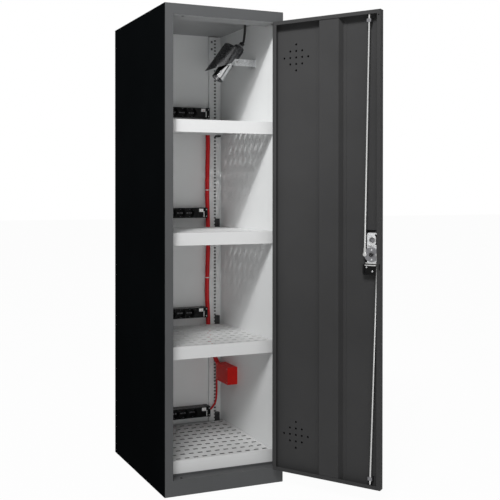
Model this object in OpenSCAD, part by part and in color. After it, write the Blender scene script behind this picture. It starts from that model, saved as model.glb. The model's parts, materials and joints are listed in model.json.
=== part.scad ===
// Battery cabinet: charging locker with one door. Millimetres, +Z up.
// X to the right seen from the front, front face at negative Y, floor at Z = 0.

/* [Body] */
// Overall width
body_w = 500; // [480:1:620]
// Overall depth
body_d = 600; // [560:1:700]
// Overall height
body_h = 1850; // [1835:1:1990]
// Outer sheet thickness
sheet = 1.2; // [1:0.1:1.6]
// Width of the front stiles
stile_w = 34; // [32:1:42]
// Depth of the front stiles and rails
stile_d = 46; // [44:1:50]
// Depth of the stiles' jamb, before they step back to the lining
jamb_d = 23; // [20:1:30]
// Height of the top rail, down to the underside of the strip below it
rail_h = 42.7; // [38:0.1:60]
// Height of the plinth below the door
plinth_h = 60; // [45:1:62]
// Distance from the outer side face to the lining
lining_in = 19; // [17:1:21]
// Distance from the outer rear face to the rear lining
rear_in = 62; // [56:1:90]

/* [Shelves] */
// Top of the floor tray above the floor
tray_top = 117; // [114:1:125]
// Pitch of the upright slots
slot_pitch = 15; // [14:1:15]
// Height of a shelf's front edge
shelf_front_h = 49; // [40:1:49]
// Height of a shelf's side and rear folds
shelf_fold_h = 25; // [20:1:30]
// Pitch of the perforation across the shelf
perf_x = 37.3; // [35:0.1:40]
// Pitch of the perforation rows
perf_y = 46; // [42:0.5:56]
// Length of a perforation slot
perf_len = 20; // [12:1:24]
// Width of a perforation slot
perf_w = 12; // [6:0.5:16]

/* [Door] */
// Depth of the door pan
door_t = 28; // [26:1:32]
// Angle at which the door stands open
door_open = 125; // [95:1:130]
// Gap beside the door
door_gap = 1.75; // [1.5:0.05:2.5]
// Gap above and below the door
door_gap_z = 3; // [2:0.5:4]
// Width of the pan's inner lip
door_lip = 14; // [10:1:15]
// Radius of a vent hole
vent_r = 4; // [2.5:0.5:6]
// Pitch of the vent holes
vent_pitch = 25; // [20:1:27]
// Width of the stiffener's raised face
hat_w = 77; // [60:1:90]

/* [Lock] */
// Height of the handle spindle above the floor
spindle_z = 915; // [800:1:960]
// Distance from the door's free edge to the spindle
spindle_in = 36.75; // [35:0.25:38]
// Radius of the crank circle
crank_r = 24; // [22:0.5:24]
// Radius of the lock rods
rod_r = 4; // [3:0.25:4]
// Travel of the lock rods
rod_travel = 22; // [16:1:24]

/* [Power] */
// Height of a power strip
strip_h = 44; // [40:1:46]
// Depth of a power strip
strip_d = 46; // [42:1:50]
// Outer radius of the red hose
hose_r = 9.5; // [8:0.25:10]
// Outer radius of the thin red cable
cable_r = 4; // [3:0.25:4.5]

/* [Device] */
// Outer radius of the detector body
det_r = 25; // [20:0.5:27]
// Length of the detector body
det_len = 150; // [130:1:170]
// Tilt of the detector from straight down
det_tilt = 37; // [25:1:45]

/* [Hidden] */
$fn = 64;
eps = 0.01;
hw = body_w / 2;
hd = body_d / 2;
inner_x = hw - lining_in;
rear_y = hd - rear_in;
open_x = hw - stile_w;
front_y = -hd;
frame_back = front_y + stile_d;
jamb_y = front_y + jamb_d;
lining_t = 1;
rail_z = body_h - rail_h;
soffit_d = 80;
shelf_step = round((body_h - tray_top) / 4 / slot_pitch);
step_z = shelf_step * slot_pitch;
base_z = tray_top - shelf_front_h;
shelf_front = frame_back + 1;
shelf_back = rear_y - 33;
shelf_x = inner_x - 1.5;
fold_t = 1.2;

// height of a shelf's top, counted from the floor tray
function level(k) = tray_top + k * step_z;

// uprights
up_w = 50;
up_d = 14;
up_t = 1.5;
up_gap = 12.5;
up_x1 = inner_x - up_gap;
up_x0 = up_x1 - up_w;
up_face = rear_y - up_d;
up_z0 = base_z + 2;
up_z1 = body_h - 6;
slot_w = 10;
slot_h = 7;
slot_x = up_x0 + 28;
slot_z0 = tray_top + 10 - 2 * slot_pitch;
slot_n = floor((up_z1 - 6 - slot_z0) / slot_pitch);

// door
door_x = open_x - door_gap;
door_z0 = plinth_h + door_gap_z - 1;
door_z1 = rail_z - door_gap_z - 0.3;
door_y1 = front_y + door_t;
door_t_s = 1.2;
hinge_x = open_x + 1;
hinge_y = front_y - 4.3;
knuckle_r = 4;
pin_r = 2;
knuckle_h = 30;
hinge_z = [215, 925, 1635];
vent_x = open_x - 87;
vent_in = 142;
hat_x = open_x - 231;

// lock
sp_x = -door_x + spindle_in;
sp_r = 7;
run = 0.05;
case_y = front_y + 15;
disc_y = case_y + 0.6;
disc_t = 3;
disc_r = 27;
eye_y = disc_y + disc_t + 0.3;
eye_t = 2.5;
rod_y = eye_y + 1.3;
lock_z = spindle_z + 53;
lock_x = sp_x - 3;
up_lean = 16.5;
lo_lean = 27;
up_run = door_z1 - spindle_z;
lo_run = spindle_z - door_z0;
up_tilt = atan(up_lean / up_run);
lo_tilt = atan(lo_lean / lo_run);
up_eye_x = sp_x + crank_r;
lo_eye_x = sp_x - crank_r;
rod_len_u = sqrt(up_run * up_run + up_lean * up_lean) - 0.6;
rod_len_l = sqrt(lo_run * lo_run + lo_lean * lo_lean) - 0.6;
up_end_x = up_eye_x - up_lean;
lo_end_x = lo_eye_x + lo_lean;
catch_r = rod_r + 2.5;

// power strips
strip_x1 = up_x0 - 12.5;
strip_len = 313;
strip_dx = [4, -10, -10, 0];
strip_y = rear_y - strip_d;
strip_rise = 27;
strip_z = [for (k = [0 : 3]) level(k) + strip_rise + 7.3 * k];
cap_t = 16;
sock_r = 20;
sock_n = 5;
sock_pitch = 43.5;
sock_in = 83;

// junction box on the right lining
jb_w = 47;
jb_d = 118;
jb_h = 75;
jb_x0 = inner_x - jb_w;
jb_y1 = rear_y - 54;
jb_y0 = jb_y1 - jb_d;
jb_z0 = tray_top + 191;
jb_lid = 6;
in_x = jb_x0 + 23;
in_z = jb_z0 + 60;
out_x = jb_x0 + 12;
out_z = jb_z0 + 38;

// detector
det_y = -75;
det_x = inner_x - 77;
det_z = body_h - 129;
det_top = 18;
det_split = 64;
hood_r = 40;
hood_off = 20.5;

frame_grey = [0.25, 0.26, 0.27];
side_black = [0.05, 0.055, 0.06];
light_grey = [0.80, 0.81, 0.81];
black = [0.04, 0.04, 0.045];
red = [0.62, 0.05, 0.06];
steel = [0.75, 0.76, 0.77];
zinc = [0.62, 0.63, 0.64];

// ---- helpers ----
module box(x0, x1, y0, y1, z0, z1) {
  translate([x0, y0, z0])
    cube([x1 - x0, y1 - y0, z1 - z0]);
}

module mirror_x() {
  children();
  mirror([1, 0, 0])
    children();
}

module on_door() {
  translate([hinge_x, hinge_y, 0])
    rotate([0, 0, door_open])
      translate([-hinge_x, -hinge_y, 0])
        children();
}

module y_cyl(x, y0, y1, z, r) {
  translate([x, y1, z])
    rotate([90, 0, 0])
      cylinder(r = r, h = y1 - y0);
}

module rounded(x0, x1, y0, y1, r) {
  translate([x0 + r, y0])
    square([x1 - x0 - 2 * r, y1 - y0]);
  translate([x0, y0 + r])
    square([x1 - x0, y1 - y0 - 2 * r]);
  for (x = [x0 + r, x1 - r], y = [y0 + r, y1 - r])
    translate([x, y])
      circle(r = r);
}

// a flat outline in X and Z given a thickness from y0 to y1
module xz(y0, y1) {
  translate([0, y1, 0])
    rotate([90, 0, 0])
      linear_extrude(height = y1 - y0)
        children();
}

// ---- outer body ----
module left_side_panel() {
  color(side_black)
    box(-hw, -hw + sheet, front_y, hd, 0, body_h);
}

module right_side_panel() {
  color(side_black)
    box(hw - sheet, hw, front_y, hd, 0, body_h);
}

module back_panel() {
  color(side_black)
    difference() {
      box(-hw + sheet, hw - sheet, hd - sheet, hd, 0, body_h - sheet);
      for (x = [-wall_hole_x, wall_hole_x])
        y_cyl(x, hd - sheet - 1, hd + 1, wall_hole_z, wall_hole_r);
      y_cyl(inlet_x, hd - sheet - 1, hd + 1, inlet_z, inlet_r + 0.25);
    }
}
wall_hole_x = 150;
wall_hole_z = body_h - 70;
wall_hole_r = 4.5;
inlet_x = -150;
inlet_z = 160;
inlet_r = 10;

module roof_panel() {
  color(side_black)
    box(-hw + sheet, hw - sheet, front_y, hd, body_h - sheet, body_h);
}

module stile() {
  t = 1.5;
  x1 = hw - sheet;
  z1 = body_h - sheet;
  difference() {
    union() {
      box(open_x, x1, front_y, jamb_y, 0, z1);
      box(inner_x, x1, front_y, frame_back, 0, z1);
    }
    box(open_x + t, x1 - t, front_y + t, jamb_y - t, -1, z1 - t);
    box(inner_x + t, x1 - t, front_y + t, frame_back - t, -1, z1 - t);
  }
}

module right_stile() {
  color(frame_grey)
    stile();
}

module left_stile() {
  color(frame_grey)
    mirror([1, 0, 0])
      stile();
}

module top_rail() {
  t = 1.5;
  z0 = rail_z + lining_t;
  z1 = body_h - sheet;
  color(frame_grey)
    difference() {
      union() {
        box(-open_x, open_x, front_y, jamb_y, z0, z1);
        box(-inner_x, inner_x, jamb_y, frame_back, z0, z1);
      }
      box(-open_x - 1, open_x + 1, front_y + t, frame_back - t, z0 + t,
          z1 - t);
      translate([up_end_x, rod_y, rail_z])
        cylinder(r = catch_r, h = 10);
    }
}

module plinth() {
  t = sheet;
  color(frame_grey)
    difference() {
      union() {
        box(-open_x, open_x, front_y, front_y + t, 0, plinth_h);
        box(-open_x, open_x, front_y, jamb_y, plinth_h - t, plinth_h);
        box(-inner_x, inner_x, jamb_y, frame_back, plinth_h - t, plinth_h);
        box(-inner_x, inner_x, frame_back - t, frame_back, plinth_h - t,
            base_z - t);
        box(-open_x, open_x, front_y, frame_back, 0, t);
        box(-hw + t, hw - t, frame_back, hd - t, 0, t);
      }
      translate([lo_end_x, rod_y, plinth_h - 10])
        cylinder(r = catch_r, h = 20);
    }
}

module base_pan() {
  color(frame_grey)
    union() {
      box(-hw + sheet, hw - sheet, frame_back, hd - sheet, base_z - sheet,
          base_z);
      box(-hw + sheet, hw - sheet, frame_back, frame_back + sheet,
          base_z - 30, base_z - sheet);
      box(-hw + sheet, hw - sheet, hd - 2 * sheet, hd - sheet, base_z - 30,
          base_z - sheet);
    }
}

// ---- linings ----
module side_lining() {
  box(inner_x, inner_x + lining_t, frame_back, rear_y, base_z,
      body_h - sheet);
}

module right_lining() {
  color(light_grey)
    side_lining();
}

module left_lining() {
  color(light_grey)
    mirror([1, 0, 0])
      side_lining();
}

module rear_lining() {
  color(light_grey)
    difference() {
      box(-inner_x - lining_t, inner_x + lining_t, rear_y, rear_y + lining_t,
          base_z, body_h - sheet);
      y_cyl(hose_top[0], rear_y - 1, rear_y + 2, hose_top[2], hose_r + 2);
    }
}

module ceiling_lining() {
  ct = body_h - sheet - 6;
  color(light_grey)
    difference() {
      union() {
        box(-open_x, open_x, front_y + 0.5, front_y + soffit_d, rail_z,
            rail_z + lining_t);
        box(-open_x, open_x, front_y + soffit_d - lining_t,
            front_y + soffit_d, rail_z, ct);
        box(-inner_x, inner_x, front_y + soffit_d - lining_t, rear_y,
            ct - lining_t, ct);
      }
      translate([up_end_x, rod_y, rail_z - 1])
        cylinder(r = catch_r, h = 10);
      translate([det_cab[0], det_cab[1], ct - 5])
        cylinder(r = 6, h = 10);
    }
}
det_cab = [inner_x - 35, det_y, body_h - 10];
det_cab_r = 5;

// ---- uprights and shelves ----
module rear_upright() {
  difference() {
    box(up_x0, up_x1, up_face, rear_y, up_z0, up_z1 - 6);
    box(up_x0 + up_t, up_x1 - up_t, up_face + up_t, rear_y + 1, up_z0 - 1,
        up_z1 + 1);
    for (i = [0 : slot_n - 1])
      box(slot_x - slot_w / 2, slot_x + slot_w / 2, up_face - 1,
          up_face + up_t + 1, slot_z0 + i * slot_pitch - slot_h / 2,
          slot_z0 + i * slot_pitch + slot_h / 2);
    for (z = key_z)
      box(up_x0 + 8, up_x0 + 17, up_face - 1, up_face + up_t + 1, z - 5,
          z + 5);
  }
}
key_z = [body_h - 34, body_h - 66];

module rear_uprights() {
  color(light_grey)
    mirror_x()
      rear_upright();
}

perf_rows = floor((shelf_back - shelf_front - 30) / perf_y) + 1;
perf_cols = floor((shelf_x - 10 - perf_len / 2) / perf_x + 0.5);

module perforation() {
  for (r = [0 : perf_rows - 1])
    for (c = [0 : perf_cols - 1], s = [-1, 1])
      translate([s * (c + 0.5) * perf_x - perf_len / 2,
                 shelf_front + 22 + r * perf_y - perf_w / 2])
        square([perf_len, perf_w]);
}

// places of the screws that hold a shelf's side folds
fix_y = [shelf_front + 60, shelf_back - 60];
fix_z = 13;
fix_r = 2;

module shelf(zt) {
  color(light_grey)
    difference() {
      union() {
        translate([0, 0, zt - fold_t])
          linear_extrude(height = fold_t)
            difference() {
              translate([-shelf_x, shelf_front])
                square([2 * shelf_x, shelf_back - shelf_front]);
              perforation();
            }
        box(-shelf_x, shelf_x, shelf_front, shelf_front + fold_t,
            zt - shelf_front_h, zt);
        box(-shelf_x + 2, shelf_x - 2, shelf_front, shelf_front + 16,
            zt - shelf_front_h, zt - shelf_front_h + fold_t);
        box(-shelf_x, shelf_x, shelf_back - fold_t, shelf_back,
            zt - shelf_fold_h, zt);
        for (s = [0, 1])
          mirror([s, 0, 0])
            box(shelf_x - fold_t, shelf_x, shelf_front, shelf_back,
                zt - shelf_fold_h, zt);
      }
      for (y = fix_y)
        translate([-shelf_x - 1, y, zt - fix_z])
          rotate([0, 90, 0])
            cylinder(r = fix_r + 0.2, h = 2 * shelf_x + 2);
    }
}

module top_shelf() {
  shelf(level(3));
}

module middle_shelf() {
  shelf(level(2));
}

module bottom_shelf() {
  shelf(level(1));
}

module floor_tray() {
  shelf(level(0));
}

clip_w = 16;
module rear_clip(zt) {
  x0 = slot_x - clip_w / 2 + 8;
  y1 = up_face;
  box(x0, x0 + clip_w, shelf_back + 0.8, y1, zt - shelf_fold_h - 8, zt + 37);
  box(x0, x0 + clip_w, shelf_back - 10, y1, zt - shelf_fold_h - 8,
      zt - shelf_fold_h);
  box(x0, slot_x + slot_w / 2 - 0.5, y1, y1 + up_t + 2.5, zt + 8, zt + 12);
}

module shelf_clips() {
  color(black)
    for (k = [0 : 3])
      mirror_x()
        rear_clip(level(k));
}

module shelf_screws() {
  head = 2;
  color(steel)
    for (k = [0 : 3], y = fix_y)
      mirror_x()
        translate([shelf_x - fold_t - head, y, level(k) - fix_z])
          rotate([0, 90, 0]) {
            cylinder(r = 2 * fix_r, h = head);
            cylinder(r = fix_r, h = inner_x - shelf_x + fold_t + head);
          }
}

// ---- power strips ----
function strip_end(k) = strip_x1 + strip_dx[k];
function sock_x(k, i) = strip_end(k) - sock_in - i * sock_pitch;
sock_deep = 17.5;

module power_strip(k) {
  z0 = strip_z[k];
  x1 = strip_end(k);
  color(black)
    difference() {
      box(x1 - strip_len, x1 - cap_t, strip_y, rear_y, z0, z0 + strip_h);
      for (i = [0 : sock_n - 1])
        y_cyl(sock_x(k, i), strip_y - 1, strip_y + sock_deep,
              z0 + strip_h / 2, sock_r);
    }
}

module power_strip_1() {
  power_strip(3);
}

module power_strip_2() {
  power_strip(2);
}

module power_strip_3() {
  power_strip(1);
}

module power_strip_4() {
  power_strip(0);
}

module socket_inserts() {
  color(black)
    for (k = [0 : 3], i = [0 : sock_n - 1])
      translate([sock_x(k, i), strip_y + sock_deep,
                 strip_z[k] + strip_h / 2])
        rotate([90, 0, 0])
          difference() {
            cylinder(r = sock_r - 0.1, h = sock_deep + 0.8);
            translate([0, 0, 2.5])
              cylinder(r = sock_r - 1.6, h = 20);
            for (s = [-1, 1])
              translate([s * 9.5, 0, 0.8])
                cylinder(r = 2.5, h = 5);
          }
}

cap_over = 0.8;
module strip_end_caps() {
  color(black)
    for (k = [0 : 3])
      difference() {
        box(strip_end(k) - cap_t, strip_end(k), strip_y - cap_over, rear_y,
            strip_z[k] - cap_over, strip_z[k] + strip_h + cap_over);
        if (k == 0)
          translate([strip_end(k) - 8, cab_y, cab_z])
            rotate([0, 90, 0])
              cylinder(r = cable_r + 0.3, h = 20);
      }
}

plate_w = 20;
plate_h = 14;
bar_w = 3;
module strip_plates() {
  color([0.9, 0.9, 0.9])
    for (k = [0 : 3]) {
      x1 = strip_end(k) - cap_t;
      z1 = strip_z[k] + strip_h - 3;
      box(x1 - 5 - plate_w, x1 - 5, strip_y - 1, strip_y, z1 - plate_h, z1);
      box(x1 - bar_w, x1, strip_y - 1, strip_y, strip_z[k] + 4,
          z1 - plate_h + 2);
    }
}

// ---- hose, junction box and cable ----
// rings of a tube along points p, each ring of n points
function unit(v) = v / norm(v);
function dir(p, i) = unit(p[min(i + 1, len(p) - 1)] - p[max(i - 1, 0)]);
function side(d) = abs(d[1]) > 0.9 ? unit(cross(d, [1, 0, 0]))
                                   : unit(cross(d, [0, 1, 0]));
function ring(p, i, r, n) =
  let (d = dir(p, i), a = side(d), b = cross(d, a))
    [for (k = [0 : n - 1])
      p[i] + r * (cos(360 * k / n) * a + sin(360 * k / n) * b)];

module tube(p, r, n) {
  m = len(p);
  pts = [for (i = [0 : m - 1]) each ring(p, i, r, n)];
  sides = [for (i = [0 : m - 2], k = [0 : n - 1])
    [i * n + k, i * n + (k + 1) % n, (i + 1) * n + (k + 1) % n,
     (i + 1) * n + k]];
  c0 = [[for (k = [0 : n - 1]) n - 1 - k]];
  c1 = [[for (k = [0 : n - 1]) (m - 1) * n + k]];
  polyhedron(points = pts, faces = concat(sides, c0, c1));
}

// a smooth run through the points q, s steps in each span
function cr(a, b, c, d, t) =
  0.5 * ((2 * b) + (c - a) * t + (2 * a - 5 * b + 4 * c - d) * t * t
  + (3 * b - a - 3 * c + d) * t * t * t);
function smooth(q, s) =
  [for (i = [0 : len(q) - 2], j = [0 : s - 1])
    cr(q[max(i - 1, 0)], q[i], q[i + 1], q[min(i + 2, len(q) - 1)], j / s),
   q[len(q) - 1]];

hose_top = [up_x0 - 14.5, rear_y - 6, level(3) + 14];
hose_x = up_x0 - 10;
hose_y = rear_y - 22;
hose_pts = [
  [hose_top[0], rear_y + 8, hose_top[2]],
  [hose_top[0], rear_y - 2, hose_top[2]],
  [hose_top[0] + 1, rear_y - 16, hose_top[2] - 7],
  [hose_x, hose_y, level(2.9)],
  [hose_x - 2, hose_y, level(2.63)],
  [hose_x - 4, hose_y, level(2.38)],
  [hose_x - 2, hose_y, level(2.17)],
  [hose_x + 0.5, hose_y, level(2)],
  [hose_x + 1, hose_y, level(1.8)],
  [hose_x - 3, hose_y, level(1.52)],
  [hose_x - 4.5, hose_y, level(1.3)],
  [hose_x + 0.5, hose_y, level(1.11)],
  [hose_x + 2, hose_y - 1, level(0.97)],
  [hose_x + 11, hose_y - 3.5, jb_z0 + 155],
  [in_x - 23, hose_y - 4, in_z + 54],
  [in_x - 12, hose_y - 6, in_z + 26],
  [in_x - 4, jb_y1 + 19, in_z + 7],
  [in_x - 0.2, jb_y1 + 10, in_z + 0.5],
  [in_x, jb_y1 + 0.3, in_z]
];
cab_y = rear_y - 24;
cab_z = strip_z[0] + strip_h / 2 + 2;
cable_pts = [
  [out_x, jb_y1 + 0.3, out_z],
  [out_x, jb_y1 + 7, out_z - 1],
  [out_x - 1, jb_y1 + 13, out_z - 12],
  [out_x - 2, jb_y1 + 14, out_z - 42],
  [out_x - 2, jb_y1 + 14, out_z - 80],
  [out_x - 3, jb_y1 + 15, out_z - 112],
  [out_x - 6, cab_y - 13, cab_z + 39],
  [out_x - 13, cab_y - 7, cab_z + 20],
  [strip_end(0) + 13, cab_y - 2, cab_z + 5],
  [strip_end(0) + 4, cab_y, cab_z],
  [strip_end(0) - 6, cab_y, cab_z]
];

module red_hose() {
  color(red)
    tube(smooth(hose_pts, 3), hose_r, 12);
}

module hose_grommet() {
  color(black)
    translate([hose_top[0], rear_y - 3, hose_top[2]])
      rotate([-90, 0, 0])
        difference() {
          union() {
            cylinder(r = hose_r + 3.5, h = 3);
            cylinder(r = hose_r + 1.9, h = 6);
          }
          translate([0, 0, -1])
            cylinder(r = hose_r + 0.3, h = 10);
        }
}

module junction_box() {
  color(red)
    difference() {
      box(jb_x0 + jb_lid, inner_x, jb_y0, jb_y0 + jb_d, jb_z0, jb_z0 + jb_h);
      box(jb_x0 + jb_lid - 1, inner_x - 3, jb_y0 + 3, jb_y0 + jb_d - 3,
          jb_z0 + 3, jb_z0 + jb_h - 3);
      for (y = [jb_y0 + 8, jb_y0 + jb_d - 8])
        for (z = [jb_z0 + 8, jb_z0 + jb_h - 8])
          translate([jb_x0, y, z])
            rotate([0, 90, 0])
              cylinder(r = 1.6, h = 30);
    }
  color(red)
    for (y = [jb_y0 + 8, jb_y0 + jb_d - 8])
      for (z = [jb_z0 + 8, jb_z0 + jb_h - 8])
        translate([jb_x0 + jb_lid, y, z])
          rotate([0, 90, 0])
            difference() {
              cylinder(r = 6, h = jb_w - jb_lid - 2);
              translate([0, 0, -1])
                cylinder(r = 1.6, h = 20);
            }
}

module junction_box_lid() {
  color(red)
    difference() {
      box(jb_x0, jb_x0 + jb_lid, jb_y0, jb_y0 + jb_d, jb_z0, jb_z0 + jb_h);
      for (y = [jb_y0 + 8, jb_y0 + jb_d - 8])
        for (z = [jb_z0 + 8, jb_z0 + jb_h - 8]) {
          translate([jb_x0 - 1, y, z])
            rotate([0, 90, 0])
              cylinder(r = 3.2, h = 4);
          translate([jb_x0 - 1, y, z])
            rotate([0, 90, 0])
              cylinder(r = 1.7, h = 20);
        }
    }
}

module junction_box_screws() {
  color(steel)
    for (y = [jb_y0 + 8, jb_y0 + jb_d - 8])
      for (z = [jb_z0 + 8, jb_z0 + jb_h - 8])
        translate([jb_x0 + 0.8, y, z])
          rotate([0, 90, 0])
            difference() {
              union() {
                cylinder(r = 3, h = 2.2);
                cylinder(r = 1.6, h = 22);
              }
              translate([-2, -0.4, -1])
                cube([4, 0.8, 1.8]);
            }
}

module junction_box_glands() {
  color(red)
    difference() {
      union() {
        y_cyl(in_x, jb_y1, jb_y1 + 6, in_z, hose_r + 1.6);
        y_cyl(out_x, jb_y1, jb_y1 + 5, out_z, cable_r + 1);
      }
      y_cyl(in_x, jb_y1 - 1, jb_y1 + 7, in_z, hose_r + 0.2);
      y_cyl(out_x, jb_y1 - 1, jb_y1 + 6, out_z, cable_r + 0.2);
    }
}

module red_cable() {
  color(red)
    tube(smooth(cable_pts, 3), cable_r, 10);
}

// ---- detector ----
module on_detector() {
  translate([det_x, det_y, det_z])
    rotate([0, det_tilt - 180, 0])
      children();
}

module detector_body() {
  color(steel)
    on_detector()
      difference() {
        translate([0, 0, det_split])
          cylinder(r = det_r, h = det_len - det_top - det_split);
        translate([0, 0, det_len - det_top - 12])
          cylinder(r = det_r - 3, h = 20);
      }
}

module detector_front_ring() {
  color(black)
    on_detector()
      translate([0, 0, det_len - det_top])
        difference() {
          cylinder(r = det_r, h = 8);
          translate([0, 0, -1])
            cylinder(r = det_r - 5, h = 10);
        }
}

module detector_lens() {
  color([0.1, 0.12, 0.14])
    on_detector()
      translate([0, 0, det_len - det_top - 12])
        cylinder(r = det_r - 3.05, h = 12);
}

module detector_hood() {
  color([0.35, 0.36, 0.37])
    on_detector()
      difference() {
        union() {
          difference() {
            translate([hood_off, 0, 0])
              cylinder(r = hood_r, h = det_len);
            translate([hood_off, 0, -1])
              cylinder(r = hood_r - 1.5, h = det_len + 2);
            translate([hood_off - 124, -100, -1])
              cube([100, 200, det_len + 2]);
          }
          for (z = [16, 70])
            box(det_r - 1, hood_off + hood_r - 1, -5, 5, z, z + 10);
        }
        translate([0, 0, -1])
          cylinder(r = det_r, h = det_len + 2);
        translate([hood_off + hood_r, 0, det_len])
          rotate([0, -55, 0])
            translate([-150, -100, 0])
              cube([200, 200, 150]);
      }
}

module detector_rear_cap() {
  color([0.3, 0.3, 0.31])
    on_detector()
      difference() {
        union() {
          translate([0, 0, -det_top])
            cylinder(r = det_r, h = det_split + det_top);
          translate([0, 0, -det_top - 8])
            cylinder(r = det_r - 3, h = 8);
          translate([0, 0, -det_top - 18])
            cylinder(r = 11, h = 12);
          translate([0, 0, -det_top - 32])
            cylinder(r = 8.5, h = 16);
        }
        translate([0, 0, -det_top - 33])
          cylinder(r = det_cab_r + 0.3, h = 28);
      }
}

br_z = det_z - 45;
br_h = 28;
module detector_bracket() {
  color(steel)
    difference() {
      union() {
        box(inner_x - 2, inner_x, det_y - 30, det_y + 30, br_z - br_h / 2 - 6,
            br_z + br_h / 2 + 6);
        box(det_x - 19, inner_x - 2, det_y - det_r - 3.5, det_y - det_r - 1.5,
            br_z - br_h / 2, br_z + br_h / 2);
        on_detector()
          translate([0, 0, 36])
            difference() {
              cylinder(r = det_r + 2, h = 22);
              translate([0, 0, -1])
                cylinder(r = det_r, h = 24);
            }
      }
      on_detector()
        cylinder(r = det_r, h = 100);
      for (i = [0 : 2])
        y_cyl(det_x - 8 + 9 * i, det_y - 40, det_y - 20, br_z + 1, 2);
      for (s = [-1, 1])
        translate([inner_x - 3, det_y + s * 22 + 2, br_z])
          rotate([0, 90, 0])
            cylinder(r = 2.3, h = 5);
    }
}

module detector_screws() {
  color(steel) {
    for (s = [-1, 1])
      translate([inner_x - 4.2, det_y + s * 22 + 2, br_z])
        rotate([0, 90, 0]) {
          cylinder(r = 4, h = 2.2);
          cylinder(r = 2.2, h = 4.2);
        }
    y_cyl(det_x - 8, det_y - det_r - 6, det_y - det_r - 3.5, br_z + 1, 4);
  }
}

module detector_cable() {
  s = sin(det_tilt);
  c = cos(det_tilt);
  q = [
    [det_x + s * 26, det_y, det_z + c * 26],
    [det_x + s * 38, det_y, det_z + c * 38],
    [det_x + s * 50, det_y, det_z + c * 50],
    [det_x + s * 60, det_y, det_z + c * 60],
    [det_cab[0] - 2, det_y, det_cab[2] - 44],
    [det_cab[0], det_y, det_cab[2] - 20],
    [det_cab[0], det_y, det_cab[2]]
  ];
  color(black)
    tube(smooth(q, 3), det_cab_r, 10);
}

module mains_gland() {
  color(black)
    translate([inlet_x, hd - sheet - 6, inlet_z])
      rotate([-90, 0, 0])
        difference() {
          union() {
            cylinder(r = inlet_r, h = sheet + 12);
            cylinder(r = inlet_r + 4, h = 6);
            translate([0, 0, 6 + sheet])
              cylinder(r = inlet_r + 4, h = 5);
            translate([0, 0, 6 + sheet])
              cylinder(r = inlet_r - 1, h = 14);
          }
          translate([0, 0, -1])
            cylinder(r = 5, h = 30);
        }
}

// ---- hinges ----
module frame_hinge_halves() {
  color(frame_grey)
    for (z = hinge_z)
      difference() {
        union() {
          translate([hinge_x, hinge_y, z - knuckle_h])
            cylinder(r = knuckle_r, h = knuckle_h);
          box(hinge_x, hinge_x + knuckle_r, hinge_y, front_y, z - knuckle_h,
              z);
          box(hinge_x, hinge_x + 22, front_y - 1.5, front_y, z - knuckle_h,
              z);
        }
        translate([hinge_x, hinge_y, z - knuckle_h - 1])
          cylinder(r = pin_r, h = knuckle_h + 2);
      }
}

module hinge_pins() {
  color(steel)
    for (z = hinge_z)
      translate([hinge_x, hinge_y, z - knuckle_h])
        cylinder(r = pin_r, h = 2 * knuckle_h - 2);
}

module door_hinge_halves() {
  color(frame_grey)
    on_door()
      for (z = hinge_z)
        difference() {
          union() {
            translate([hinge_x, hinge_y, z + 0.3])
              cylinder(r = knuckle_r, h = knuckle_h);
            box(hinge_x - knuckle_r, hinge_x - 1, hinge_y, front_y - 0.6,
                z + 0.3, z + 0.3 + knuckle_h);
            box(hinge_x - 26, hinge_x - 3, front_y - 1.5, front_y, z + 0.3,
                z + 0.3 + knuckle_h);
          }
          translate([hinge_x, hinge_y, z - 1])
            cylinder(r = pin_r + run, h = knuckle_h + 10);
        }
}

// ---- door ----
module vents(zc) {
  for (i = [-2 : 2], j = [-2 : 2])
    if (abs(i) + abs(j) <= 2)
      y_cyl(vent_x + i * vent_pitch, front_y - 1, front_y + 3,
            zc + j * vent_pitch, vent_r);
}

module door_pan() {
  t = door_t_s;
  color(frame_grey)
    on_door()
      difference() {
        box(-door_x, door_x, front_y, door_y1, door_z0, door_z1);
        box(-door_x + t, door_x - t, front_y + t, door_y1 - t, door_z0 + t,
            door_z1 - t);
        box(-door_x + door_lip, door_x - door_lip, front_y + t, door_y1 + 1,
            door_z0 + door_lip, door_z1 - door_lip);
        vents(door_z1 - vent_in);
        vents(door_z0 + vent_in);
        translate([up_end_x, rod_y, door_z1 - 5])
          cylinder(r = rod_r + 0.8, h = 10);
        translate([lo_end_x, rod_y, door_z0 - 5])
          cylinder(r = rod_r + 0.8, h = 10);
        y_cyl(sp_x, front_y - 1, front_y + 3, spindle_z, sp_r + 0.5);
        y_cyl(lock_x, front_y - 1, front_y + 3, lock_z, 11.2);
        box(-door_x + 2, -door_x + 5.5, door_y1 - 3, door_y1 + 1,
            spindle_z - 55, spindle_z - 33);
        y_cyl(-door_x + 7, door_y1 - 3, door_y1 + 1, door_z1 - 20, 2.5);
      }
}

cover_half = 2 * vent_pitch + vent_r + 6;
cover_d = 6;
module vent_cover(zc) {
  w = cover_half;
  t = 1;
  difference() {
    box(vent_x - w, vent_x + w, front_y - cover_d, front_y, zc - w, zc + w);
    box(vent_x - w + t, vent_x + w - t, front_y - cover_d + t, front_y + t,
        zc - w - t, zc + w - t);
  }
}

module vent_covers() {
  color(black)
    on_door()
      for (z = [door_z1 - vent_in, door_z0 + vent_in])
        vent_cover(z);
}

module door_stiffener() {
  z0 = door_z0 + door_t_s + 1;
  z1 = door_z1 - door_t_s - 1;
  y0 = front_y + door_t_s;
  y1 = front_y + door_t - 2.5;
  a = hat_w / 2;
  t = 1;
  color(frame_grey)
    on_door()
      translate([hat_x, 0, z0])
        linear_extrude(height = z1 - z0)
          polygon([
            [-a - 22, y0], [-a - 9.4, y0], [-a + 0.7, y1 - t],
            [a - 0.7, y1 - t], [a + 9.4, y0], [a + 22, y0],
            [a + 22, y0 + t], [a + 10, y0 + t], [a, y1],
            [-a, y1], [-a - 10, y0 + t], [-a - 22, y0 + t]
          ]);
}

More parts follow.
